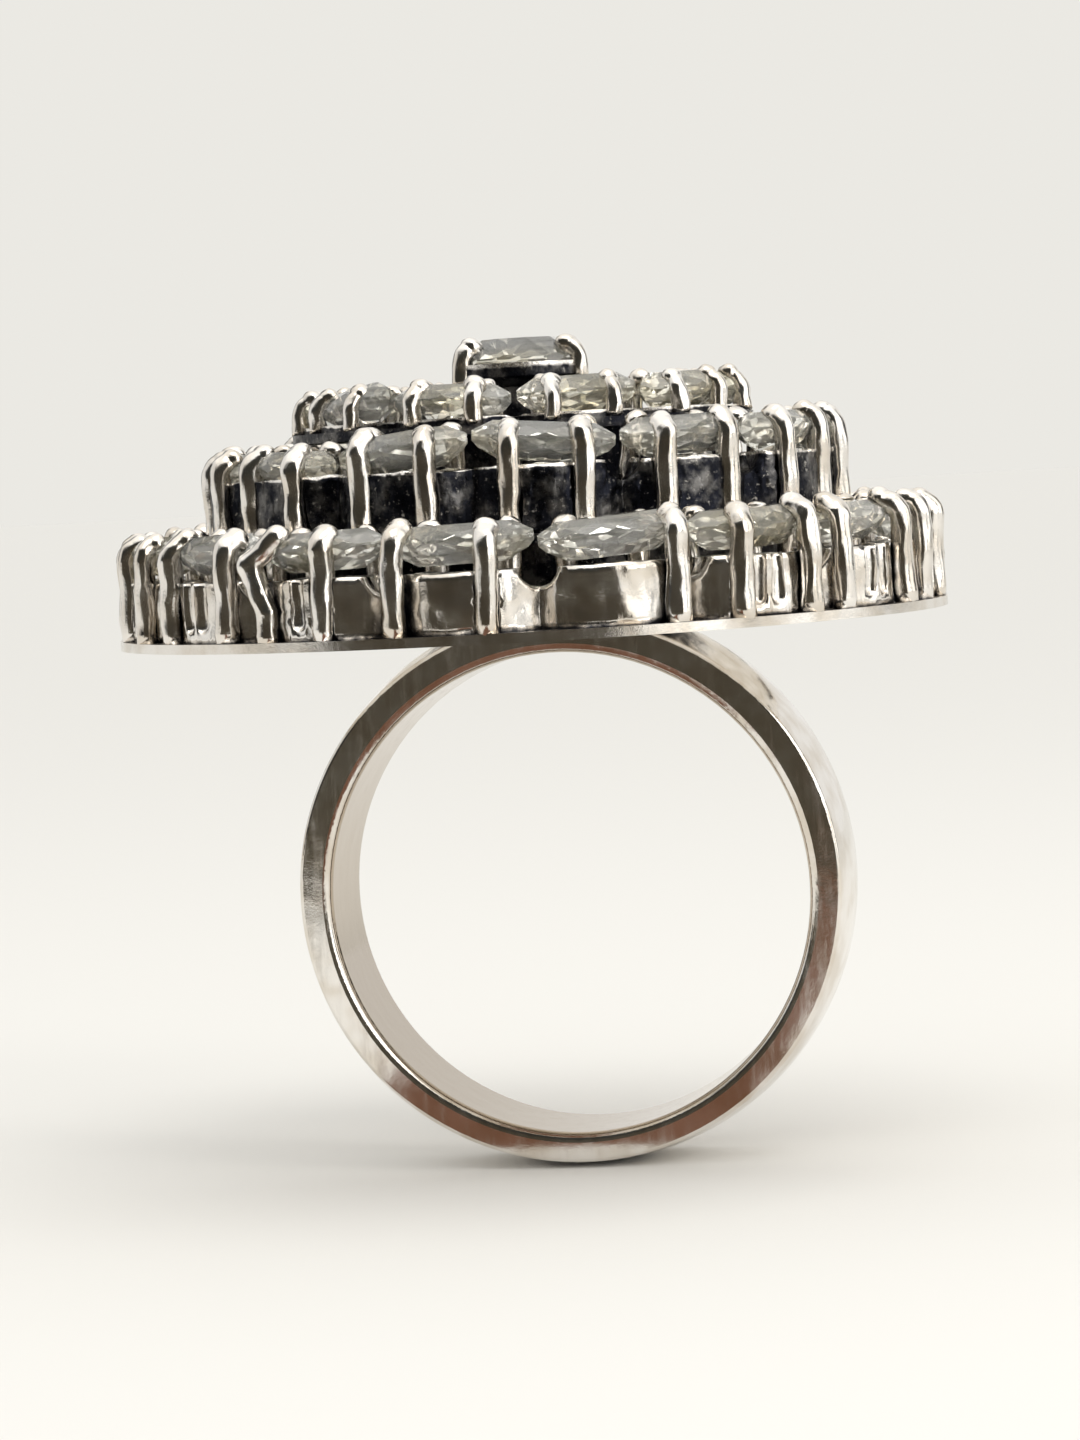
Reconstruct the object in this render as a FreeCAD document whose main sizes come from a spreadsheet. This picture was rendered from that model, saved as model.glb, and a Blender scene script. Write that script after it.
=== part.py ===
import FreeCAD, Part

import math
import os

import Mesh
import Sketcher
from FreeCAD import Placement, Rotation, Vector

# Cocktail ring: three rows of marquise stones and one round stone, stacked on a finger shank.
# Origin: centre of the finger bore. +Z points up through the head, the finger lies along Y.
# The head is soldered a little off the shank's centre line, so its own axis is at head_offset.
# In the head, a place is given by its angle from -Y, turning towards +X.

# Driving dimensions in millimetres and degrees: alias, value, what it is.
SIZES = [
    ("bore_radius", 9.05, "finger bore, about US size 8"),
    ("edge_wall", 1.05, "shank thickness at its two edges"),
    ("crown_rise", 0.45, "how far the outer face is domed between the edges"),
    ("dome_shift", 0.15, "rise of the dome's axis, which thickens the shank towards the head"),
    ("width_bottom", 4.8, "shank width at the palm side"),
    ("width_top", 5.8, "shank width under the head"),
    ("inner_round", 0.35, "rounding of the bore's two edges"),
    ("outer_round", 0.15, "rounding of the edges beside the domed outer face"),
    ("head_offset", -1.15, "head axis from the bore axis, along X"),
    ("head_floor", 10.0, "underside of the head's base plate"),
    ("plate_thick", 0.35, "every base plate"),
    ("cup_wall", 0.50, "wall of a stone's cup"),
    ("cup_gap", 0.12, "cup outline beyond the stone's outline"),

    ("lower_count", 17, "stones in the lower row"),
    ("lower_phase", 0.3, "angle of the first stone"),
    ("lower_row", 13.95, "head axis to a stone's middle"),
    ("lower_length", 5.1, "stone length"),
    ("lower_width", 2.5, "stone width"),
    ("lower_plate", 15.62, "plate radius"),
    ("lower_cup", 2.15, "height of the cup walls"),
    ("lower_girdle", 3.56, "stone's widest level above the head floor"),

    ("middle_count", 13, "stones in the middle row"),
    ("middle_phase", 13.8, "angle of the first stone"),
    ("middle_row", 10.65, "head axis to a stone's middle"),
    ("middle_length", 5.1, "stone length"),
    ("middle_width", 2.4, "stone width"),
    ("middle_plate", 12.2, "plate radius"),
    ("middle_floor", 3.3, "plate underside above the head floor"),
    ("middle_cup", 2.4, "height of the cup walls"),
    ("middle_girdle", 6.95, "stone's widest level above the head floor"),

    ("upper_count", 10, "stones in the upper row"),
    ("upper_phase", 26.0, "angle of the first stone"),
    ("upper_row", 7.26, "head axis to a stone's middle"),
    ("upper_length", 4.5, "stone length"),
    ("upper_width", 2.3, "stone width"),
    ("upper_plate", 8.7, "plate radius"),
    ("upper_floor", 7.3, "plate underside above the head floor"),
    ("upper_cup", 0.25, "height of the cup walls"),
    ("upper_girdle", 8.6, "stone's widest level above the head floor"),

    ("collar_wall", 0.6, "wall of the collars between the plates"),
    ("middle_collar", 9.6, "outer radius of the collar under the middle plate"),
    ("upper_collar", 6.4, "outer radius of the collar under the upper plate"),
    ("crown_collar", 2.2, "outer radius of the collar under the crown"),
    ("crown_floor", 9.0, "underside of the crown's collet above the head floor"),
    ("crown_height", 0.9, "height of the collet"),
    ("crown_stone", 2.25, "radius of the round stone"),
    ("crown_girdle", 10.05, "round stone's widest level above the head floor"),

    ("claw_radius", 0.42, "claw wire of the lower and middle rows"),
    ("fine_claw_radius", 0.33, "claw wire of the upper row and the crown"),
    ("claw_bend", 0.62, "radius of the bend over the stone"),
]

# Depths of the cut stones above and below the girdle, which is their widest level.
MARQUISE_DEPTH = {"crown": 0.52, "pavilion": 0.80, "girdle": 0.08}
ROUND_DEPTH = {"crown": 0.75, "pavilion": 1.90, "girdle": 0.10}

# Tilt of each tier of facets, in degrees from level, and how far from the girdle it starts.
MARQUISE_TIERS = ((56.0, 0.0), (34.0, 0.14), (-60.0, 0.0), (-35.0, -0.26))
ROUND_TIERS = ((42.0, 0.0), (34.0, 0.10), (-46.0, 0.0), (-40.0, -0.16))

# Cups of the lower row whose outer wall is plain; the others have flutes cut into it.
PLAIN_CUPS = (0, 1)
FLUTE_RADIUS = 0.33
FLUTE_FLOOR = 0.35
FLUTE_PLACES = (-0.43, 0.43)

# Hand work on the outer claws of the lower row. A claw is named by its stone and its side.
MISSING_CLAW = (1, -1)
KINKED_CLAW = (16, -1)
CLAW_SHIFTS = {(15, -1): -0.4, (15, 1): 0.35, (16, -1): -0.5, (16, 1): -0.8, (0, -1): -1.0, (0, 1): -0.4,
               (1, 1): 0.7, (2, -1): 0.3, (2, 1): 0.6, (3, -1): -0.6, (3, 1): 0.9}

# Stones set out of level, in degrees, and seats that were cut lower than their neighbours.
UNLEVEL = {("lower", 1): -4.0, ("middle", 12): -6.0, ("middle", 0): 5.0, ("upper", 8): -11.0}
LOW_SEATS = {("middle", 9): 0.35, ("middle", 10): 0.60, ("middle", 11): 0.50, ("middle", 12): 0.10}

# Angles of the crown's claws, in two pairs.
CROWN_CLAWS = (-109.0, -49.0, 71.0, 131.0)

FAR = 60.0

# How finely a claw is meshed to see that it is closed, and the lifts tried where it isn't.
FACET_TOLERANCE = 0.02
HAIR_LIFTS = (0.0, 0.02, -0.02, 0.04)

doc = FreeCAD.newDocument("cocktail_ring")


def make_sheet():
    """Put the driving dimensions in a spreadsheet."""
    sheet = doc.addObject("Spreadsheet::Sheet", "Sizes")
    for row, (alias, value, note) in enumerate(SIZES, start=1):
        sheet.set(f"A{row}", alias)
        sheet.set(f"B{row}", str(value))
        sheet.setAlias(f"B{row}", alias)
        sheet.set(f"C{row}", note)
    doc.recompute()
    return sheet


def size(alias):
    """Read one driving dimension."""
    return float(getattr(sheet, alias))


def uneven(index, amount):
    """A repeatable hand-made unevenness between -amount and +amount."""
    return amount * math.sin(12.9898 * index + 4.1414)


# ---------------------------------------------------------------- bodies and sketches

def new_body(label, on_head=True, phase=None):
    """A body that stands on the head axis or on the bore axis."""
    body = doc.addObject("PartDesign::Body", label)
    body.Label = label
    if on_head:
        body.setExpression("Placement.Base.x", "Sizes.head_offset")
    if phase:
        body.Placement = Placement(Vector(0, 0, 0), Rotation(Vector(0, 0, 1), size(phase)))
        body.setExpression("Placement.Rotation.Angle", f"Sizes.{phase}")
    return body


def new_sketch(body, name, role, height=None, outward=None):
    """A sketch on one of the body's own planes, raised by height and moved out along -Y."""
    plane = next(item for item in body.Origin.OriginFeatures if item.Role == role)
    sketch = body.newObject("Sketcher::SketchObject", name)
    sketch.AttachmentSupport = [(plane, "")]
    sketch.MapMode = "FlatFace"
    if height:
        sketch.setExpression("AttachmentOffset.Base.z", height)
    if outward:
        sketch.setExpression("AttachmentOffset.Base.y", f"-({outward})")
    return sketch


def bind(sketch, constraint, expression):
    """Add a dimensional constraint whose value comes from the sheet."""
    index = sketch.addConstraint(constraint)
    sketch.setExpression(f"Constraints[{index}]", expression)


def draw_circle(sketch, radius):
    """A circle about the sketch's origin."""
    circle = sketch.addGeometry(Part.Circle(Vector(0, 0, 0), Vector(0, 0, 1), 1.0), False)
    sketch.addConstraint(Sketcher.Constraint("Coincident", circle, 3, -1, 1))
    bind(sketch, Sketcher.Constraint("Radius", circle, 1.0), radius)


def draw_marquise(sketch, half_length, half_width, long_value, wide_value):
    """Two equal arcs that meet in points on the sketch's X axis."""
    radius = (long_value ** 2 + wide_value ** 2) / (2 * wide_value)
    reach = math.asin(long_value / radius)
    arcs = []
    for side, middle in ((-1, math.pi / 2), (1, 3 * math.pi / 2)):
        centre = Vector(0, side * (radius - wide_value), 0)
        circle = Part.Circle(centre, Vector(0, 0, 1), radius)
        arcs.append(sketch.addGeometry(Part.ArcOfCircle(circle, middle - reach, middle + reach), False))
    near, far = arcs
    sketch.addConstraint(Sketcher.Constraint("Coincident", near, 1, far, 2))
    sketch.addConstraint(Sketcher.Constraint("Coincident", near, 2, far, 1))
    sketch.addConstraint(Sketcher.Constraint("Symmetric", near, 1, near, 2, -1, 1))
    sketch.addConstraint(Sketcher.Constraint("PointOnObject", near, 1, -1))
    sketch.addConstraint(Sketcher.Constraint("Equal", near, far))
    bind(sketch, Sketcher.Constraint("DistanceX", near, 2, near, 1, 2 * long_value), f"2 * ({half_length})")
    arc_radius = f"(({half_length})^2 + ({half_width})^2) / (2 * ({half_width}))"
    bind(sketch, Sketcher.Constraint("Radius", near, radius), arc_radius)


def pad(body, name, sketch, length):
    feature = body.newObject("PartDesign::Pad", name)
    feature.Profile = sketch
    feature.setExpression("Length", length)
    return feature


def cut_through(body, name, sketch):
    """Cut the sketch's outline right through the body, both ways."""
    feature = body.newObject("PartDesign::Pocket", name)
    feature.Profile = sketch
    feature.Type = 1
    feature.Midplane = True
    doc.recompute()
    return feature


def repeat_round(body, name, features, count):
    """Repeat features round the body's Z axis."""
    pattern = body.newObject("PartDesign::PolarPattern", name)
    pattern.Originals = features
    axis = next(item for item in body.Origin.OriginFeatures if item.Role == "Z_Axis")
    pattern.Axis = (axis, [""])
    pattern.Angle = 360
    pattern.setExpression("Occurrences", count)
    body.Tip = pattern
    doc.recompute()
    return pattern


# ---------------------------------------------------------------- shank and plates

def make_shank():
    """A domed band, wider and thicker towards the head, with a flat for the head on top."""
    body = new_body("shank", on_head=False)
    rim = size("bore_radius") + size("edge_wall")
    top = rim + size("crown_rise")
    half = size("width_top") / 2 + 0.3

    profile = new_sketch(body, "shank_section", "YZ_Plane", outward="-Sizes.dome_shift")
    corners = [Vector(-half, 0, 0), Vector(half, 0, 0), Vector(half, rim, 0), Vector(-half, rim, 0)]
    floor = profile.addGeometry(Part.LineSegment(corners[0], corners[1]), False)
    right = profile.addGeometry(Part.LineSegment(corners[1], corners[2]), False)
    dome = profile.addGeometry(Part.Arc(corners[2], Vector(0, top, 0), corners[3]), False)
    left = profile.addGeometry(Part.LineSegment(corners[3], corners[0]), False)
    profile.addConstraint(Sketcher.Constraint("Coincident", floor, 2, right, 1))
    profile.addConstraint(Sketcher.Constraint("Coincident", left, 2, floor, 1))
    profile.addConstraint(Sketcher.Constraint("Coincident", right, 2, dome, 1))
    profile.addConstraint(Sketcher.Constraint("Coincident", dome, 2, left, 1))
    profile.addConstraint(Sketcher.Constraint("PointOnObject", floor, 1, -1))
    profile.addConstraint(Sketcher.Constraint("Vertical", right))
    profile.addConstraint(Sketcher.Constraint("Vertical", left))
    profile.addConstraint(Sketcher.Constraint("Symmetric", floor, 1, floor, 2, -1, 1))
    profile.addConstraint(Sketcher.Constraint("Equal", left, right))
    bind(profile, Sketcher.Constraint("DistanceX", floor, 1, floor, 2, 2 * half), "Sizes.width_top + 0.6")
    bind(profile, Sketcher.Constraint("DistanceY", right, 1, right, 2, rim),
         "Sizes.bore_radius + Sizes.edge_wall")
    arc_radius = "((Sizes.width_top / 2 + 0.3)^2 + Sizes.crown_rise^2) / (2 * Sizes.crown_rise)"
    bind(profile, Sketcher.Constraint("Radius", dome, 12.0), arc_radius)
    spin = body.newObject("PartDesign::Revolution", "shank_disc")
    spin.Profile = profile
    spin.ReferenceAxis = (profile, ["H_Axis"])
    spin.Angle = 360
    doc.recompute()

    bore = new_sketch(body, "bore_outline", "XZ_Plane")
    draw_circle(bore, "Sizes.bore_radius")
    cut_through(body, "finger_bore", bore)

    for side, name in ((1, "back_taper"), (-1, "front_taper")):
        taper = new_sketch(body, f"{name}_outline", "YZ_Plane")
        narrow = side * size("width_bottom") / 2
        wide = side * size("width_top") / 2
        points = [Vector(narrow, -12, 0), Vector(wide, 12, 0), Vector(side * 9, 12, 0), Vector(side * 9, -12, 0)]
        for start, end in zip(points, points[1:] + points[:1]):
            taper.addGeometry(Part.LineSegment(start, end), False)
        for line in range(4):
            taper.addConstraint(Sketcher.Constraint("Coincident", line, 2, (line + 1) % 4, 1))
        cut_through(body, name, taper)

    round_edges(body, "bore_rounding", on_bore=True)
    round_edges(body, "rim_rounding", on_bore=False)

    flat = new_sketch(body, "head_flat_outline", "XZ_Plane")
    level = size("head_floor")
    box = [Vector(-12, level, 0), Vector(12, level, 0), Vector(12, level + 4, 0), Vector(-12, level + 4, 0)]
    for start, end in zip(box, box[1:] + box[:1]):
        flat.addGeometry(Part.LineSegment(start, end), False)
    for line in range(4):
        flat.addConstraint(Sketcher.Constraint("Coincident", line, 2, (line + 1) % 4, 1))
    cut_through(body, "head_flat", flat)
    return body


def round_edges(body, name, on_bore):
    """Round the two long edges of the bore, or the two that bound the domed outer face."""
    base = body.Tip
    names = []
    for number, edge in enumerate(base.Shape.Edges, start=1):
        middle = edge.valueAt((edge.FirstParameter + edge.LastParameter) / 2)
        inside = math.hypot(middle.x, middle.z) < size("bore_radius") + size("edge_wall") / 2
        level = size("bore_radius") + (0 if on_bore else size("edge_wall"))
        close = abs(math.hypot(middle.x, middle.z) - level) < 0.1 + size("dome_shift")
        if inside == on_bore and close and edge.Length > 30:
            names.append(f"Edge{number}")
    rounding = body.newObject("PartDesign::Fillet", name)
    rounding.Base = (base, names)
    rounding.setExpression("Radius", "Sizes.inner_round" if on_bore else "Sizes.outer_round")
    doc.recompute()


def make_ring(label, outer, inner, floor, height):
    """A flat plate or a collar: one or two circles, padded upwards."""
    body = new_body(label)
    outline = new_sketch(body, f"{label}_outline", "XY_Plane", height=floor)
    draw_circle(outline, outer)
    if inner:
        draw_circle(outline, inner)
    pad(body, f"{label}_pad", outline, height)
    doc.recompute()
    return body


def pierce_plate(body, row):
    """Open the plate under every stone with a marquise-shaped light hole."""
    outline = new_sketch(body, f"{row}_light_outline", "XY_Plane", outward=f"Sizes.{row}_row")
    half_length = f"Sizes.{row}_length * 0.36"
    half_width = f"Sizes.{row}_width * 0.34"
    draw_marquise(outline, half_length, half_width, size(f"{row}_length") * 0.36, size(f"{row}_width") * 0.34)
    hole = cut_through(body, f"{row}_light", outline)
    before = hole.Shape.Volume
    body.setExpression("Placement.Rotation.Angle", f"Sizes.{row}_phase")
    repeat_round(body, f"{row}_lights", [hole], f"Sizes.{row}_count")
    if body.Shape.Volume >= before:
        raise RuntimeError(f"{row} light holes cut nothing")


# ---------------------------------------------------------------- stones

def half_space(point, normal):
    """A solid block that holds everything on the normal's side of a plane."""
    block = Part.makeBox(FAR, FAR, FAR, Vector(-FAR / 2, -FAR / 2, 0))
    block.Placement = Placement(point, Rotation(Vector(0, 0, 1), normal))
    return block


def facet_ring(arcs, angles, radius, tilt, level):
    """Facet planes that lean in from an outline at one level, above the girdle or below it."""
    upward = 1 if tilt > 0 else -1
    lean = math.radians(abs(tilt))
    for centre, turn in arcs:
        for angle in angles:
            heading = math.radians(turn + angle)
            out = Vector(math.cos(heading), math.sin(heading), 0)
            normal = out * math.sin(lean) + Vector(0, 0, upward * math.cos(lean))
            yield centre + out * radius + Vector(0, 0, level), normal


def cut_gem(arcs, spread, steps, radius, tiers, depth):
    """Cut a gem from a block, one facet plane after another. Its girdle lies at height zero."""
    even = [spread * (2 * step / steps - 1) for step in range(steps + 1)]
    between = [(low + high) / 2 for low, high in zip(even, even[1:])]
    girdle = depth["girdle"] / 2
    planes = [(Vector(0, 0, depth["crown"] + girdle), Vector(0, 0, 1))]
    planes += facet_ring(arcs, even + between, radius, 90, 0)
    for number, (tilt, start) in enumerate(tiers):
        angles = even if number % 2 else between
        planes += facet_ring(arcs, angles, radius, tilt, start + math.copysign(girdle, tilt))
    gem = Part.makeBox(12, 12, depth["crown"] + depth["pavilion"] + 2 * girdle,
                       Vector(-6, -6, -depth["pavilion"] - girdle))
    for point, normal in planes:
        gem = gem.cut(half_space(point, normal))
    return gem.Solids[0]


def marquise_gem(length, width):
    """A boat-shaped stone, long in X."""
    long_half = length / 2
    wide_half = width / 2
    radius = (long_half ** 2 + wide_half ** 2) / (2 * wide_half)
    spread = math.degrees(math.asin(long_half / radius))
    arcs = [(Vector(0, wide_half - radius, 0), 90), (Vector(0, radius - wide_half, 0), 270)]
    return cut_gem(arcs, spread, 4, radius, MARQUISE_TIERS, MARQUISE_DEPTH)


def round_gem(radius):
    """A round stone with eight main facets."""
    return cut_gem([(Vector(0, 0, 0), 0)], 180, 8, radius, ROUND_TIERS, ROUND_DEPTH)


def add_solid(label, shape, placement):
    """A document object for a piece whose form comes from Part's own functions."""
    item = doc.addObject("Part::Feature", label)
    item.Label = label
    item.Shape = shape
    item.Placement = placement
    return item


def on_row(row, index):
    """Placement of a stone: at its row's radius and angle, with its length along the row."""
    angle = size(f"{row}_phase") + 360.0 * index / size(f"{row}_count")
    spin = Rotation(Vector(0, 0, 1), angle)
    out = spin.multVec(Vector(0, -size(f"{row}_row"), 0))
    level = size("head_floor") + size(f"{row}_girdle") - LOW_SEATS.get((row, index), 0)
    return Placement(Vector(size("head_offset") + out.x, out.y, level), spin)


def make_stones(row):
    """The row's stones. Each leans and turns a little, as stones set by hand do."""
    gem = marquise_gem(size(f"{row}_length"), size(f"{row}_width"))
    stones = []
    for index in range(int(size(f"{row}_count"))):
        slope = UNLEVEL.get((row, index), uneven(index, 1.6))
        lean = Rotation(Vector(0, 1, 0), slope) * Rotation(Vector(1, 0, 0), uneven(index + 5, 2.0))
        place = on_row(row, index)
        place = place.multiply(Placement(Vector(0, 0, uneven(index + 9, 0.05)), lean))
        stones.append(add_solid(f"{row}_stone_{index + 1:02d}", gem, place))
    return stones


# ---------------------------------------------------------------- claws

def bent_wire(radius, rise, lead, swell=1.1):
    """A round claw from the origin up, bent over towards +Y, with a swollen round end."""
    bend = size("claw_bend")
    lean = math.radians(68)
    start = Vector(0, 0, 0)
    knee = Vector(0, 0, rise)
    middle = Vector(0, bend * (1 - math.cos(lean / 2)), rise + bend * math.sin(lean / 2))
    over = Vector(0, bend * (1 - math.cos(lean)), rise + bend * math.sin(lean))
    tip = over + Vector(0, math.sin(lean), math.cos(lean)) * lead
    path = Part.Wire([Part.makeLine(start, knee), Part.Arc(knee, middle, over).toShape(),
                      Part.makeLine(over, tip)])
    ring = Part.Wire([Part.makeCircle(radius, start, Vector(0, 0, 1))])
    wire = path.makePipeShell([ring], True, False)
    return wire.fuse(Part.makeSphere(radius * swell, tip)).removeSplitter()


def kinked_wire(radius, rise, kink):
    """A claw that leans sideways, then hooks back over its stone, with a round elbow at each bend."""
    points = [Vector(0, 0, 0), Vector(0, 0, rise * 0.35), Vector(kink, 0, rise * 0.92),
              Vector(-kink * 0.4, 0.42, rise + size("claw_bend") * 1.15)]
    pieces = []
    for low, high in zip(points, points[1:]):
        pieces.append(Part.makeCylinder(radius, (high - low).Length, low, high - low))
        pieces.append(Part.makeSphere(radius * 1.03, high))
    return pieces[0].multiFuse(pieces[1:]).removeSplitter()


def stone_edge(row, along):
    """Half the stone's width at a distance along it from its middle."""
    long_half = size(f"{row}_length") / 2
    wide_half = size(f"{row}_width") / 2
    radius = (long_half ** 2 + wide_half ** 2) / (2 * wide_half)
    return math.sqrt(radius ** 2 - min(abs(along), long_half) ** 2) - radius + wide_half


def is_closed(solid):
    """True if the solid's facets meet edge to edge."""
    return Mesh.Mesh(solid.tessellate(FACET_TOLERANCE)).isSolid()


def notched(claw, stones):
    """The claw with a notch wherever a stone fills it, raised by a hair where the notch would be ragged."""
    for lift in HAIR_LIFTS:
        trial = claw.copy()
        trial.translate(Vector(0, 0, lift))
        for stone in stones:
            trial = trial.cut(stone.Shape)
        piece = max(trial.Solids, key=lambda solid: solid.Volume)
        if is_closed(piece):
            return piece
    raise RuntimeError("no clean notch for a claw")


def one_claw(row, inner, index, end, floor, rise, spacing):
    """A claw that stands on its plate and reaches over the edge of one stone."""
    radius = size("fine_claw_radius" if row == "upper" else "claw_radius")
    number = 2 * index + end + (40 if inner else 0)
    hand_work = row == "lower" and not inner
    along = end * spacing + (CLAW_SHIFTS.get((index, end), 0) if hand_work else uneven(number + 1, 0.12))
    if inner:
        stand = size(f"{row}_row") - size(f"{row}_width") / 2 - 0.06
        gap = size(f"{row}_row") - math.sqrt(stand ** 2 - along ** 2)
    else:
        stand = size(f"{row}_plate") - radius + 0.02
        gap = math.sqrt(stand ** 2 - along ** 2) - size(f"{row}_row")
    rise = rise - LOW_SEATS.get((row, index), 0) + uneven(number + 3, 0.07)
    reach = gap - stone_edge(row, along) + 0.25 - size("claw_bend") * 0.62
    if hand_work and (index, end) == KINKED_CLAW:
        claw = kinked_wire(radius, rise, -0.70)
    else:
        claw = bent_wire(radius, rise, min(max(reach, 0.12), 0.38), 1.28 if row == "upper" else 1.1)
        claw.rotate(Vector(0, 0, 0), Vector(0, 0, 1), end * 12 + uneven(number, 7))
    claw.rotate(Vector(0, 0, 0), Vector(0, 1, 0), uneven(number + 7, 1.6))
    claw.rotate(Vector(0, 0, 0), Vector(0, 0, 1), 180 if inner else 0)
    place = on_row(row, index)
    place.Base.z = floor
    place = place.multiply(Placement(Vector(along, gap if inner else -gap, 0), Rotation()))
    claw.Placement = place.multiply(claw.Placement)
    return claw


def make_claws(row, inner, stones, floor, rise, spacing):
    """Two claws on one side of every stone, each notched where it grips a stone."""
    claws = []
    for index in range(len(stones)):
        for end in (-1, 1):
            if row == "lower" and not inner and (index, end) == MISSING_CLAW:
                continue
            claw = one_claw(row, inner, index, end, floor, rise, spacing)
            claws.append(notched(claw, (stones[index], stones[(index + end) % len(stones)])))
    kind = "inner" if inner else "outer"
    return add_solid(f"{row}_{kind}_claws", Part.makeCompound(claws), Placement())


def make_crown_claws(stone):
    """Short claws round the round stone."""
    radius = size("fine_claw_radius")
    floor = size("head_floor") + size("crown_floor") + 0.15
    claws = []
    for index, angle in enumerate(CROWN_CLAWS):
        claw = bent_wire(radius, 0.82 + uneven(index, 0.05), 0.12, 1.3)
        spin = Rotation(Vector(0, 0, 1), angle)
        out = spin.multVec(Vector(0, -size("crown_stone") - 0.30, 0))
        place = Placement(Vector(size("head_offset") + out.x, out.y, floor), spin)
        claw.Placement = place.multiply(claw.Placement)
        claws.append(notched(claw, [stone]))
    return add_solid("crown_claws", Part.makeCompound(claws), Placement())


# ---------------------------------------------------------------- galleries

def make_cups(row, floor):
    """A closed chain of cups, one round every stone, with the walls dipping where cups meet."""
    body = new_body(f"{row}_cup_chain", phase=f"{row}_phase")
    wall = new_sketch(body, f"{row}_cup_outline", "XY_Plane", height=floor, outward=f"Sizes.{row}_row")
    for gap in ("Sizes.cup_gap", "(Sizes.cup_gap - Sizes.cup_wall)"):
        beyond = size("cup_gap") - (size("cup_wall") if "wall" in gap else 0)
        draw_marquise(wall, f"Sizes.{row}_length / 2 + {gap}", f"Sizes.{row}_width / 2 + {gap}",
                      size(f"{row}_length") / 2 + beyond, size(f"{row}_width") / 2 + beyond)
    cup = pad(body, f"{row}_cup", wall, f"Sizes.{row}_cup")
    doc.recompute()
    repeat_round(body, f"{row}_cups", [cup], f"Sizes.{row}_count")
    return body


def dip_cutters(row, top):
    """Round bars, laid radially, that dip the cup walls where two cups meet."""
    count = int(size(f"{row}_count"))
    radius = 0.75
    depth = 0.30 * size(f"{row}_cup")
    start = Vector(0, -size(f"{row}_row") + 2.2, top + radius - depth)
    bars = []
    for index in range(count):
        bar = Part.makeCylinder(radius, 5, start, Vector(0, -1, 0))
        bar.rotate(Vector(0, 0, 0), Vector(0, 0, 1), size(f"{row}_phase") + 360.0 * (index + 0.5) / count)
        bars.append(bar)
    return bars


def low_seat_cutters(row, top):
    """Blocks that lower the cup walls under stones whose seats were cut low."""
    blocks = []
    for (place, index), drop in LOW_SEATS.items():
        if place == row:
            half = size(f"{row}_length") / 2 + 0.15
            block = Part.makeBox(2 * half, 4, 2, Vector(-half, -size(f"{row}_row") - 2, top - drop))
            block.rotate(Vector(0, 0, 0), Vector(0, 0, 1), size(f"{row}_phase") + 360.0 * index / size(f"{row}_count"))
            blocks.append(block)
    return blocks


def flute_cutters(row, floor, top):
    """Upright flutes with round bottoms in the outer wall of each cup that has them."""
    count = int(size(f"{row}_count"))
    out = size(f"{row}_row") + size(f"{row}_width") / 2 + size("cup_gap") + 0.05
    bottom = floor + FLUTE_FLOOR + FLUTE_RADIUS
    cutters = []
    for index in range(count):
        if index in PLAIN_CUPS:
            continue
        for across in FLUTE_PLACES:
            low = Vector(across, -out, bottom)
            flute = Part.makeCylinder(FLUTE_RADIUS, top - bottom + 1, low).fuse(Part.makeSphere(FLUTE_RADIUS, low))
            flute.rotate(Vector(0, 0, 0), Vector(0, 0, 1), size(f"{row}_phase") + 360.0 * index / count)
            cutters.append(flute)
    return cutters


def make_gallery(row, floor_expression, floor, claw_sets):
    """The cup chain with its dips and flutes, and a seat for every claw that stands against it."""
    chain = make_cups(row, floor_expression)
    top = floor + size(f"{row}_cup")
    cutters = dip_cutters(row, top) + low_seat_cutters(row, top)
    if row == "lower":
        cutters += flute_cutters(row, floor, top)
    shape = Part.makeCompound(cutters)
    tools = add_solid(f"{row}_cup_cutters", shape, Placement(Vector(size("head_offset"), 0, 0), Rotation()))
    trimmed = doc.addObject("Part::Cut", f"{row}_cups_trimmed")
    trimmed.Base = chain
    trimmed.Tool = tools
    seats = doc.addObject("Part::Compound", f"{row}_claw_seats")
    seats.Links = claw_sets
    gallery = doc.addObject("Part::Cut", f"{row}_gallery")
    gallery.Label = f"{row}_gallery"
    gallery.Base = trimmed
    gallery.Tool = seats
    doc.recompute()
    return gallery


def make_collet():
    """A cone-shaped cup for the round stone, open below."""
    body = new_body("crown_collet")
    profile = new_sketch(body, "collet_section", "XZ_Plane")
    low = size("head_floor") + size("crown_floor")
    high = low + size("crown_height")
    outer = size("crown_stone") + 0.30
    seat = size("crown_stone") - 0.12
    points = [Vector(outer - 0.45, low, 0), Vector(outer, low + 0.40, 0), Vector(outer, high, 0),
              Vector(seat + 0.05, high, 0), Vector(seat - 0.85, low, 0)]
    for start, end in zip(points, points[1:] + points[:1]):
        profile.addGeometry(Part.LineSegment(start, end), False)
    for line in range(len(points)):
        profile.addConstraint(Sketcher.Constraint("Coincident", line, 2, (line + 1) % len(points), 1))
    spin = body.newObject("PartDesign::Revolution", "collet_cone")
    spin.Profile = profile
    spin.ReferenceAxis = (profile, ["V_Axis"])
    spin.Angle = 360
    doc.recompute()
    return body


# ---------------------------------------------------------------- the whole ring

def make_row(row, floor, rise, spacing):
    """One row: stones, claws outside and inside, and the gallery of cups."""
    stones = make_stones(row)
    level = size("head_floor") + size("plate_thick")
    if floor:
        level += size(f"{row}_floor")
    outer = make_claws(row, False, stones, level, rise, spacing)
    inner = make_claws(row, True, stones, level, rise - 0.05, spacing)
    expression = f"Sizes.head_floor + Sizes.plate_thick{floor}"
    gallery = make_gallery(row, expression, level, [outer, inner])
    return stones + [outer, inner, gallery]


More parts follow.
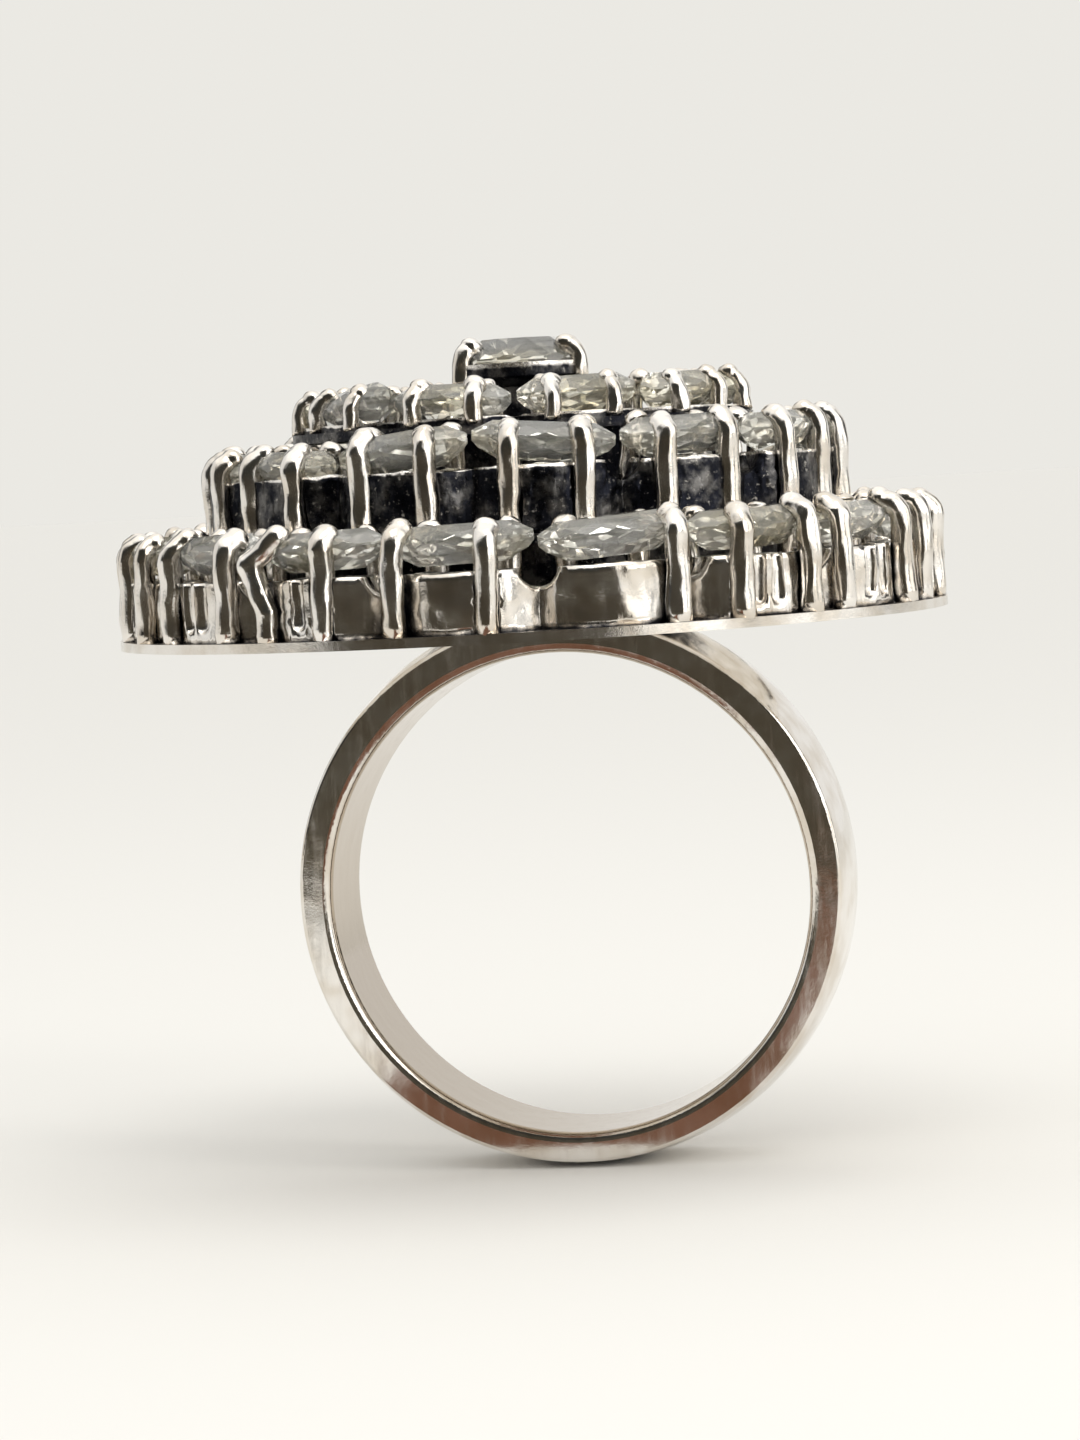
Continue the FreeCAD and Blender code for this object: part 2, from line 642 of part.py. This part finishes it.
def make_ring_parts():
    parts = [make_shank()]
    head = "Sizes.head_floor"
    thick = "Sizes.plate_thick"
    wall = "Sizes.collar_wall"

    lower = make_ring("lower_plate", "Sizes.lower_plate", None, head, thick)
    pierce_plate(lower, "lower")
    middle = make_ring("middle_plate", "Sizes.middle_plate", None, f"{head} + Sizes.middle_floor", thick)
    upper = make_ring("upper_plate", "Sizes.upper_plate", None, f"{head} + Sizes.upper_floor", thick)
    parts += [lower, middle, upper]

    parts.append(make_ring("middle_collar", "Sizes.middle_collar", f"Sizes.middle_collar - {wall}",
                           f"{head} + {thick}", f"Sizes.middle_floor - {thick}"))
    parts.append(make_ring("upper_collar", "Sizes.upper_collar", f"Sizes.upper_collar - {wall}",
                           f"{head} + Sizes.middle_floor + {thick}",
                           f"Sizes.upper_floor - Sizes.middle_floor - {thick}"))
    parts.append(make_ring("crown_collar", "Sizes.crown_collar", f"Sizes.crown_collar - {wall}",
                           f"{head} + Sizes.upper_floor + {thick}",
                           f"Sizes.crown_floor - Sizes.upper_floor - {thick}"))

    parts += make_row("lower", "", 2.98, 1.35)
    parts += make_row("middle", " + Sizes.middle_floor", 3.05, 1.30)
    parts += make_row("upper", " + Sizes.upper_floor", 0.69, 1.15)

    centre = Placement(Vector(size("head_offset"), 0, size("head_floor") + size("crown_girdle")), Rotation())
    stone = add_solid("centre_stone", round_gem(size("crown_stone")), centre)
    parts += [make_collet(), make_crown_claws(stone), stone]
    return parts


def check_document(parts):
    """Stop if any object failed or any piece has no sound solid."""
    doc.recompute()
    failed = [item.Label for item in doc.Objects if {"Invalid", "Error"} & set(item.State)]
    if failed:
        raise RuntimeError(f"failed objects: {failed}")
    for part in parts:
        if part.Shape.isNull() or not part.Shape.isValid() or not part.Shape.Solids:
            raise RuntimeError(f"{part.Label} has no valid solid")


sheet = make_sheet()
ring_parts = make_ring_parts()
check_document(ring_parts)
os.makedirs("parts", exist_ok=True)
for part in ring_parts:
    part.Shape.exportStep(f"parts/{part.Label}.step")
    print(part.Label, len(part.Shape.Solids), round(part.Shape.Volume, 3))
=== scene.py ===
import math

import bmesh
import bpy
from mathutils import Euler, Matrix, Vector, noise


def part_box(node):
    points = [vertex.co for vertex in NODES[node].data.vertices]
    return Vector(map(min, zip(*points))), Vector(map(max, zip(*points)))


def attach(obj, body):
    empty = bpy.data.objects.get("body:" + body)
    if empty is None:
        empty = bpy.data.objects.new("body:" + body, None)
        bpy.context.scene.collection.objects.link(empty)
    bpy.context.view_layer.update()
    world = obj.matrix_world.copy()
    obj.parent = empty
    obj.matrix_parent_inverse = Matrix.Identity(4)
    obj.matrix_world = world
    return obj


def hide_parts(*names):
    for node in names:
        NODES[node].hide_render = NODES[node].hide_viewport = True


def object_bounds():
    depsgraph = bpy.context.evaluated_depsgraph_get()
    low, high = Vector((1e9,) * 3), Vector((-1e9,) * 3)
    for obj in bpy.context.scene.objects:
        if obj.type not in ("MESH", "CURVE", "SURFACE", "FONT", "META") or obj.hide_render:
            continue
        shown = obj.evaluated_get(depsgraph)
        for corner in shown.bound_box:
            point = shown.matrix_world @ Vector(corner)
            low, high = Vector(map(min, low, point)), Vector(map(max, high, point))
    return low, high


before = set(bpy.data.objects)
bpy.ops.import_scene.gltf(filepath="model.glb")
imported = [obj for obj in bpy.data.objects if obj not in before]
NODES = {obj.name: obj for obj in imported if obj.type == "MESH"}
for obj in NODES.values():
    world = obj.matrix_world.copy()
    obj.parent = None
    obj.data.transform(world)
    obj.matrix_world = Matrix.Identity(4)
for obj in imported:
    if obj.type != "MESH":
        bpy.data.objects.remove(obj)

# Lengths below are in millimetres and are multiplied by MM where Blender wants metres.
MM = 0.001
CAD_BOX = [list(corner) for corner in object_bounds()]
FLOOR = Vector(CAD_BOX[0]).z

# The camera: a long lens, to the right of the finger axis and a little above it. Angles in radians.
LENS = 107.2
SENSOR = 36.0
CAMERA_PLACE = (27.14, -159.9, 15.85)
CAMERA_YAW, CAMERA_PITCH, CAMERA_ROLL = -0.1751, -0.0581, 0.0572

# The floor and the backdrop. Lamps add a little to the floor, which LAMP_SHARE makes up for.
FLOOR_COLOR = (0.815, 0.80, 0.765)
FLOOR_SIDE = 8000
BACKDROP = (0.83, 0.815, 0.77)
LAMP_SHARE = 1.038

# What the metal sees round the ring: degrees from -Y towards +X, and how bright it is there.
ROOM = ((-180, 0.90), (-152, 0.95), (-146, 0.05), (-134, 0.06), (-128, 0.85), (-78, 0.80), (-66, 0.05),
        (-20, 0.02), (22, 0.03), (30, 1.9), (62, 2.1), (66, 0.10), (73, 0.10), (77, 1.7), (112, 1.5),
        (118, 0.06), (134, 0.05), (140, 0.9), (180, 0.90))
ROOM_TINT = (1.0, 0.985, 0.95)
OVERHEAD = (1.25, 1.23, 1.18)
OVERHEAD_FROM, OVERHEAD_FULL = 0.50, 0.86

# The dark card in front, from its bottom to its top: how far up, and its colour.
FRONT_SIDE = 125
FRONT_PLACE = (-14, -75, 40)
FRONT_BANDS = ((0.0, (0.24, 0.11, 0.06)), (0.055, (0.20, 0.09, 0.05)), (0.085, (0.085, 0.075, 0.055)),
               (0.30, (0.05, 0.042, 0.03)), (0.55, (0.02, 0.02, 0.016)), (1.0, (0.035, 0.035, 0.03)))

# The warm strip that lies on the floor in front of the ring.
STRIP_WIDTH, STRIP_LENGTH = 17, 71
STRIP_PLACE = (-3, -42)
STRIP_LIFT = 0.05
STRIP_COLOR = (0.17, 0.078, 0.045)

# Colours of the metal.
BRIGHT = (0.86, 0.83, 0.79)
WARM = (0.70, 0.64, 0.56)
OXIDE = (0.012, 0.013, 0.018)
THIN_OXIDE = (0.03, 0.034, 0.045)
# The inside of the finger bore is painted darker and warmer: painted shade and a painted warm reflection.
SHADED_BORE = (0.46, 0.39, 0.31)
CAST_GREY = (0.16, 0.155, 0.15)
CAST_GRAIN = (0.45, 0.43, 0.40)

# Colours of the stones.
CLEAR = (0.99, 0.99, 0.95)
GOLDEN = (0.95, 0.88, 0.66)
# Darker streaks in the stones are a painted reflection, standing for the dark stripes that their long facets
# reflect.
FACET_REFLECTION_GREY = (0.60, 0.60, 0.54)
STONE_IOR = 1.62
STONE_TRANSMISSION = 0.86

# The skin of the cast pieces: blots to the millimetre, and how deep they are.
NOISE_SEED = 5
CLAW_WAVES = ((0.9, 0.10), (2.6, 0.035))
CUP_WAVES = ((0.7, 0.06), (2.2, 0.03))
CAST_WAVES = ((0.8, 0.10), (2.4, 0.07), (5.5, 0.03))

# Longest edge of each kind of cast piece before its skin is moved.
CLAW_EDGE, FINE_CLAW_EDGE = 0.4, 0.22
LOWER_CUP_EDGE, MIDDLE_CUP_EDGE = 0.33, 0.36
MOST_SPLITS = 5
WELD_DISTANCE = 0.0005
SHARP_ANGLE = math.radians(50)

scene = bpy.context.scene


# ---------------------------------------------------------------- nodes

class Nodes:
    """Short calls for building a node tree."""

    def __init__(self, tree):
        self.tree = tree

    def node(self, kind, **settings):
        made = self.tree.nodes.new(kind)
        for name, value in settings.items():
            setattr(made, name, value)
        return made

    def link(self, source, target):
        self.tree.links.new(source, target)

    def feed(self, socket, value):
        """Link a socket to another one, or give it a number or a colour."""
        if hasattr(value, "is_output"):
            self.link(value, socket)
        elif isinstance(value, tuple):
            socket.default_value = (*value, 1)
        else:
            socket.default_value = value

    def split(self, vector):
        made = self.node("ShaderNodeSeparateXYZ")
        self.link(vector, made.inputs["Vector"])
        return made.outputs

    def math(self, operation, *values):
        made = self.node("ShaderNodeMath", operation=operation)
        for socket, value in zip(made.inputs, values):
            self.feed(socket, value)
        return made.outputs["Value"]

    def mix(self, factor, first, second):
        made = self.node("ShaderNodeMix", data_type="RGBA")
        for number, value in ((0, factor), (6, first), (7, second)):
            self.feed(made.inputs[number], value)
        return made.outputs[2]

    def ramp(self, value, low, high, bottom=0.0, top=1.0):
        """A smooth step from bottom to top as value goes from low to high."""
        made = self.node("ShaderNodeMapRange", interpolation_type="SMOOTHSTEP")
        self.link(value, made.inputs["Value"])
        for name, number in (("From Min", low), ("From Max", high), ("To Min", bottom), ("To Max", top)):
            made.inputs[name].default_value = number
        return made.outputs["Result"]

    def bands(self, value, stops):
        """Colours along a value from 0 to 1."""
        made = self.node("ShaderNodeValToRGB")
        elements = made.color_ramp.elements
        while len(elements) < len(stops):
            elements.new(0.5)
        for element, (place, color) in zip(elements, stops):
            element.position = place
            element.color = (*color, 1)
        self.link(value, made.inputs["Fac"])
        return made.outputs["Color"]


class Material(Nodes):
    """A material's node tree, in the object's own coordinates."""

    def __init__(self, name):
        self.material = bpy.data.materials.new(name)
        self.material.use_nodes = True
        super().__init__(self.material.node_tree)
        self.shader = self.tree.nodes["Principled BSDF"]
        self.place = self.node("ShaderNodeTexCoord").outputs["Object"]

    def paint(self, name, value):
        """Feed one of the shader's inputs."""
        self.feed(self.shader.inputs[name], value)

    def noise(self, scale, detail=3.0, rough=0.5, stretch=None):
        """Noise with about `scale` blots to the millimetre."""
        made = self.node("ShaderNodeTexNoise")
        made.inputs["Scale"].default_value = scale / MM
        made.inputs["Detail"].default_value = detail
        made.inputs["Roughness"].default_value = rough
        source = self.place
        if stretch:
            mapping = self.node("ShaderNodeMapping")
            mapping.inputs["Scale"].default_value = stretch
            self.link(self.place, mapping.inputs["Vector"])
            source = mapping.outputs["Vector"]
        self.link(source, made.inputs["Vector"])
        return made.outputs["Fac"]

    def crevice(self, reach):
        """1 in a crevice and 0 on open metal, by how much is open within `reach` millimetres."""
        made = self.node("ShaderNodeAmbientOcclusion", samples=6)
        made.inputs["Distance"].default_value = reach * MM
        return self.math("SUBTRACT", 1.0, made.outputs["AO"])

    def height(self):
        return self.split(self.place)["Z"]

    def from_bore_axis(self):
        """Distance from the finger's axis, in metres."""
        parts = self.split(self.place)
        across = self.math("MULTIPLY", parts["X"], parts["X"])
        up = self.math("MULTIPLY", parts["Z"], parts["Z"])
        return self.math("SQRT", self.math("ADD", across, up))

    def bump(self, height, depth, below=None):
        """Bumps `depth` millimetres deep, on top of the ones below."""
        made = self.node("ShaderNodeBump")
        made.inputs["Strength"].default_value = 1.0
        made.inputs["Distance"].default_value = depth * MM
        self.link(height, made.inputs["Height"])
        if below:
            self.link(below, made.inputs["Normal"])
        return made.outputs["Normal"]


# ---------------------------------------------------------------- camera, floor and light

def make_camera():
    data = bpy.data.cameras.new("camera")
    data.lens = LENS
    data.sensor_width = SENSOR
    data.clip_start = 0.01
    data.clip_end = 20.0
    camera = bpy.data.objects.new("camera", data)
    scene.collection.objects.link(camera)
    level = math.cos(CAMERA_PITCH)
    forward = Vector((math.sin(CAMERA_YAW) * level, math.cos(CAMERA_YAW) * level, math.sin(CAMERA_PITCH)))
    camera.location = Vector(CAMERA_PLACE) * MM
    aim = (-forward).to_track_quat("Z", "Y")
    camera.rotation_mode = "QUATERNION"
    camera.rotation_quaternion = aim @ Euler((0, 0, -CAMERA_ROLL)).to_quaternion()
    scene.camera = camera


def flat_sheet(name, width, height, material):
    """A flat rectangle about the origin, facing +Z."""
    mesh = bpy.data.meshes.new(name)
    half_w, half_h = width * MM / 2, height * MM / 2
    corners = [(-half_w, -half_h, 0), (half_w, -half_h, 0), (half_w, half_h, 0), (-half_w, half_h, 0)]
    mesh.from_pydata(corners, [], [(0, 1, 2, 3)])
    mesh.materials.append(material)
    sheet = bpy.data.objects.new(name, mesh)
    scene.collection.objects.link(sheet)
    return sheet


def make_floor():
    paint = Material("pale_floor")
    paint.paint("Base Color", FLOOR_COLOR)
    paint.paint("Roughness", 0.9)
    paint.paint("Specular IOR Level", 0.0)
    floor = flat_sheet("floor", FLOOR_SIDE, FLOOR_SIDE, paint.material)
    floor.location.z = FLOOR


def glowing(name, roughness):
    """A black material that glows, for a card that only reflections see."""
    paint = Material(name)
    paint.paint("Base Color", (0.0, 0.0, 0.0))
    paint.paint("Roughness", roughness)
    paint.paint("Emission Strength", 1.0)
    return paint


def only_in_reflections(card):
    card.visible_camera = False
    card.visible_diffuse = False
    card.visible_shadow = False


def make_front_card():
    """The dark side of the room, behind the camera, that the ring's front faces reflect."""
    paint = glowing("front_card", 1.0)
    coords = paint.node("ShaderNodeTexCoord")
    upward = paint.split(coords.outputs["Generated"])["Y"]
    paint.paint("Emission Color", paint.bands(upward, FRONT_BANDS))
    card = flat_sheet("front_card", FRONT_SIDE, FRONT_SIDE, paint.material)
    card.location = Vector(FRONT_PLACE) * MM
    card.rotation_euler = (math.radians(-90), math.radians(180), 0)
    only_in_reflections(card)


def make_low_card():
    """A warm strip in front of the ring, low down."""
    paint = glowing("low_card", 0.5)
    paint.paint("Emission Color", STRIP_COLOR)
    card = flat_sheet("low_card", STRIP_WIDTH, STRIP_LENGTH, paint.material)
    card.location = Vector((*STRIP_PLACE, FLOOR / MM + STRIP_LIFT)) * MM
    only_in_reflections(card)


def make_light(name, sides, place, energy, color):
    """A softbox that faces the ring."""
    data = bpy.data.lights.new(name, "AREA")
    data.shape = "RECTANGLE"
    data.size, data.size_y = (side * MM for side in sides)
    data.energy = energy
    data.color = color
    lamp = bpy.data.objects.new(name, data)
    lamp.location = Vector(place) * MM
    lamp.rotation_mode = "QUATERNION"
    lamp.rotation_quaternion = Vector(place).to_track_quat("Z", "Y")
    lamp.visible_camera = False
    scene.collection.objects.link(lamp)


def make_room():
    """A room seen by reflections, an even light for matt surfaces and a plain pale backdrop."""
    world = bpy.data.worlds.new("studio")
    scene.world = world
    world.use_nodes = True
    room = Nodes(world.node_tree)
    heading = room.split(room.node("ShaderNodeTexCoord").outputs["Generated"])
    turn = room.math("ARCTAN2", heading["X"], room.math("MULTIPLY", heading["Y"], -1.0))
    fraction = room.math("ADD", room.math("DIVIDE", turn, 2 * math.pi), 0.5)
    stops = [(degrees / 360 + 0.5, tuple(light * part for part in ROOM_TINT)) for degrees, light in ROOM]
    above = room.ramp(heading["Z"], OVERHEAD_FROM, OVERHEAD_FULL)
    seen_in_metal = room.mix(above, room.bands(fraction, stops), OVERHEAD)

    path = room.node("ShaderNodeLightPath").outputs
    soft = room.math("MAXIMUM", path["Is Diffuse Ray"], path["Is Camera Ray"])
    even = tuple(seen / albedo / LAMP_SHARE for seen, albedo in zip(BACKDROP, FLOOR_COLOR))
    soft_color = room.mix(path["Is Camera Ray"], even, BACKDROP)
    background = room.tree.nodes["Background"]
    room.link(room.mix(soft, seen_in_metal, soft_color), background.inputs["Color"])


def make_studio():
    make_room()
    make_floor()
    make_front_card()
    make_low_card()
    make_light("top_box", (150, 110), (40, -50, 220), 0.10, (1.0, 0.98, 0.94))
    make_light("right_box", (60, 150), (200, -120, 110), 0.11, (1.0, 0.98, 0.95))
    scene.view_settings.view_transform = "Standard"


# ---------------------------------------------------------------- materials

def silver(name, gloss, wave, pits, reach, start, full, bore=None):
    """Polished silver, finely scratched, that blackens as its crevice value goes from start to full."""
    metal = Material(name)
    crevice = metal.crevice(reach)
    patch = metal.noise(1.3, 4, 0.6)
    worn = metal.math("ADD", crevice, metal.ramp(patch, 0.3, 0.7, -0.16, 0.16))
    dark = metal.ramp(worn, start, full)
    tone = metal.mix(metal.ramp(metal.noise(0.7, 2), 0.35, 0.7), BRIGHT, WARM)
    oxide = metal.mix(metal.ramp(metal.noise(2.2, 3), 0.4, 0.65), OXIDE, THIN_OXIDE)
    # Painted shade: inside the finger bore the silver is painted darker and warmer, standing for the dim warm
    # reflections there.
    if bore:
        bore_shade = metal.ramp(metal.from_bore_axis(), (bore - 0.02) * MM, (bore + 0.10) * MM, 1.0, 0.0)
        tone = metal.mix(bore_shade, tone, SHADED_BORE)
    metal.paint("Base Color", metal.mix(dark, tone, oxide))
    metal.paint("Metallic", 1.0)
    scratch = metal.noise(3.0, 5, 0.7, (1.0, 1.0, 0.12))
    scratched = metal.ramp(scratch, 0.35, 0.75, gloss, gloss + 0.13)
    metal.paint("Roughness", metal.math("ADD", scratched, metal.ramp(dark, 0.0, 1.0, 0.0, 0.22)))
    waves = metal.bump(metal.noise(0.9, 1.5), wave)
    metal.paint("Normal", metal.bump(metal.noise(9.0, 4, 0.65), pits, waves))
    return metal.material


def cast_silver(name, rim_height=None, rim_band=0.10):
    """Rough cast silver, oxidised almost black, with its top rim polished bright."""
    metal = Material(name)
    grain = metal.noise(4.0, 6, 0.7)
    blot = metal.noise(1.1, 4, 0.6)
    color = metal.mix(metal.ramp(blot, 0.45, 0.72), OXIDE, CAST_GREY)
    color = metal.mix(metal.ramp(grain, 0.58, 0.70), color, CAST_GRAIN)
    roughness = metal.ramp(grain, 0.3, 0.7, 0.22, 0.5)
    if rim_height:
        level = metal.math("ADD", metal.height(), metal.ramp(blot, 0.3, 0.7, -0.05 * MM, 0.05 * MM))
        rim = metal.ramp(level, rim_height - rim_band * MM, rim_height - 0.4 * rim_band * MM)
        color = metal.mix(rim, color, BRIGHT)
        roughness = metal.math("SUBTRACT", roughness, metal.math("MULTIPLY", rim, 0.14))
    metal.paint("Base Color", color)
    metal.paint("Metallic", 1.0)
    metal.paint("Roughness", roughness)
    lumps = metal.bump(blot, 0.06)
    metal.paint("Normal", metal.bump(grain, 0.02, lumps))
    return metal.material


def gem(name):
    """Faceted stone, mostly clear, with a faint golden tint and darker streaks that are a painted reflection
    of the dark stripes in its long facets.
    """
    stone = Material(name)
    body = stone.mix(stone.ramp(stone.noise(0.35, 2), 0.4, 0.7), CLEAR, GOLDEN)
    # Painted reflection: grey streaks stretched along the stone, standing for its facets' dark reflections.
    facet_reflection = stone.noise(1.6, 3, 0.6, (0.35, 0.35, 2.2))
    stone.paint("Base Color", stone.mix(stone.ramp(facet_reflection, 0.5, 0.68), body, FACET_REFLECTION_GREY))
    scuff = stone.noise(5.0, 4, 0.7)
    stone.paint("Roughness", stone.ramp(scuff, 0.4, 0.8, 0.015, 0.10))
    stone.paint("IOR", STONE_IOR)
    stone.paint("Transmission Weight", STONE_TRANSMISSION)
    return stone.material


# ---------------------------------------------------------------- cast and hand-finished pieces

def split_long_edges(shape, longest):
    """Divide edges until none is longer than `longest` or MOST_SPLITS rounds are done."""
    for _ in range(MOST_SPLITS):
        long_edges = [edge for edge in shape.edges if edge.calc_length() > longest]
        if not long_edges:
            return
        bmesh.ops.subdivide_edges(shape, edges=long_edges, cuts=1)
        bmesh.ops.triangulate(shape, faces=[face for face in shape.faces if len(face.verts) > 3])


def move_skin(shape, waves):
    """Move every point by noise that depends only on where it is, so that no seam opens."""
    for vertex in shape.verts:
        place = vertex.co.copy()
        for scale, depth in waves:
            vertex.co += noise.noise_vector(place * scale) * depth


def cast_copy(node, material, longest, waves):
    """A node as it was really cast and filed, with an uneven skin, in place of the CAD solid."""
    source = NODES[node]
    shape = bmesh.new()
    shape.from_mesh(source.data)
    bmesh.ops.transform(shape, matrix=Matrix.Scale(1 / MM, 4) @ source.matrix_world, verts=shape.verts)
    bmesh.ops.remove_doubles(shape, verts=shape.verts, dist=WELD_DISTANCE)
    split_long_edges(shape, longest)
    move_skin(shape, waves)
    bmesh.ops.transform(shape, matrix=Matrix.Scale(MM, 4), verts=shape.verts)
    finished = bpy.data.meshes.new(f"{node}_cast")
    shape.to_mesh(finished)
    shape.free()
    finished.materials.clear()
    finished.materials.append(material)
    finished.shade_smooth()
    finished.set_sharp_from_angle(angle=SHARP_ANGLE)
    piece = bpy.data.objects.new(f"{node}_cast", finished)
    scene.collection.objects.link(piece)
    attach(piece, "root")
    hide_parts(node)


def dress(node, material):
    """Give a CAD node's every slot one material."""
    mesh = NODES[node].data
    if not mesh.materials:
        mesh.materials.append(material)
    for slot in NODES[node].material_slots:
        slot.material = material


def top_of(node):
    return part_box(node)[1][2]


def dress_shank_and_plates():
    dress("shank", silver("shank_silver", gloss=0.07, wave=0.010, pits=0.0015, reach=0.5, start=0.7, full=1.2,
                          bore=9.1))
    dress("lower_plate", silver("plate_silver", gloss=0.14, wave=0.02, pits=0.006, reach=2.0, start=0.55,
                                full=0.85))
    for row in ("middle", "upper"):
        dress(f"{row}_plate", cast_silver(f"{row}_plate_cast"))


def dress_galleries():
    cups = silver("cup_silver", gloss=0.10, wave=0.02, pits=0.006, reach=1.1, start=0.42, full=0.80)
    cast_copy("lower_gallery", cups, LOWER_CUP_EDGE, CUP_WAVES)
    middle = cast_silver("middle_gallery_cast", top_of("middle_gallery"))
    cast_copy("middle_gallery", middle, MIDDLE_CUP_EDGE, CAST_WAVES)
    dress("upper_gallery", cast_silver("upper_gallery_cast", top_of("upper_gallery")))


def dress_crown_and_collars():
    hidden = cast_silver("hidden_cast")
    for node in ("middle_collar", "upper_collar", "crown_collar"):
        dress(node, hidden)
    dress("crown_collet", cast_silver("collet_cast", top_of("crown_collet"), 0.2))


def dress_claws_and_stones():
    claws = silver("claw_silver", gloss=0.09, wave=0.02, pits=0.006, reach=0.7, start=0.55, full=0.95)
    stone = gem("stone")
    for node in NODES:
        if node.endswith("claws"):
            fine = node.startswith(("upper", "crown"))
            cast_copy(node, claws, FINE_CLAW_EDGE if fine else CLAW_EDGE, CLAW_WAVES)
        elif "stone" in node:
            dress(node, stone)


noise.seed_set(NOISE_SEED)
make_camera()
make_studio()
dress_shank_and_plates()
dress_galleries()
dress_crown_and_collars()
dress_claws_and_stones()
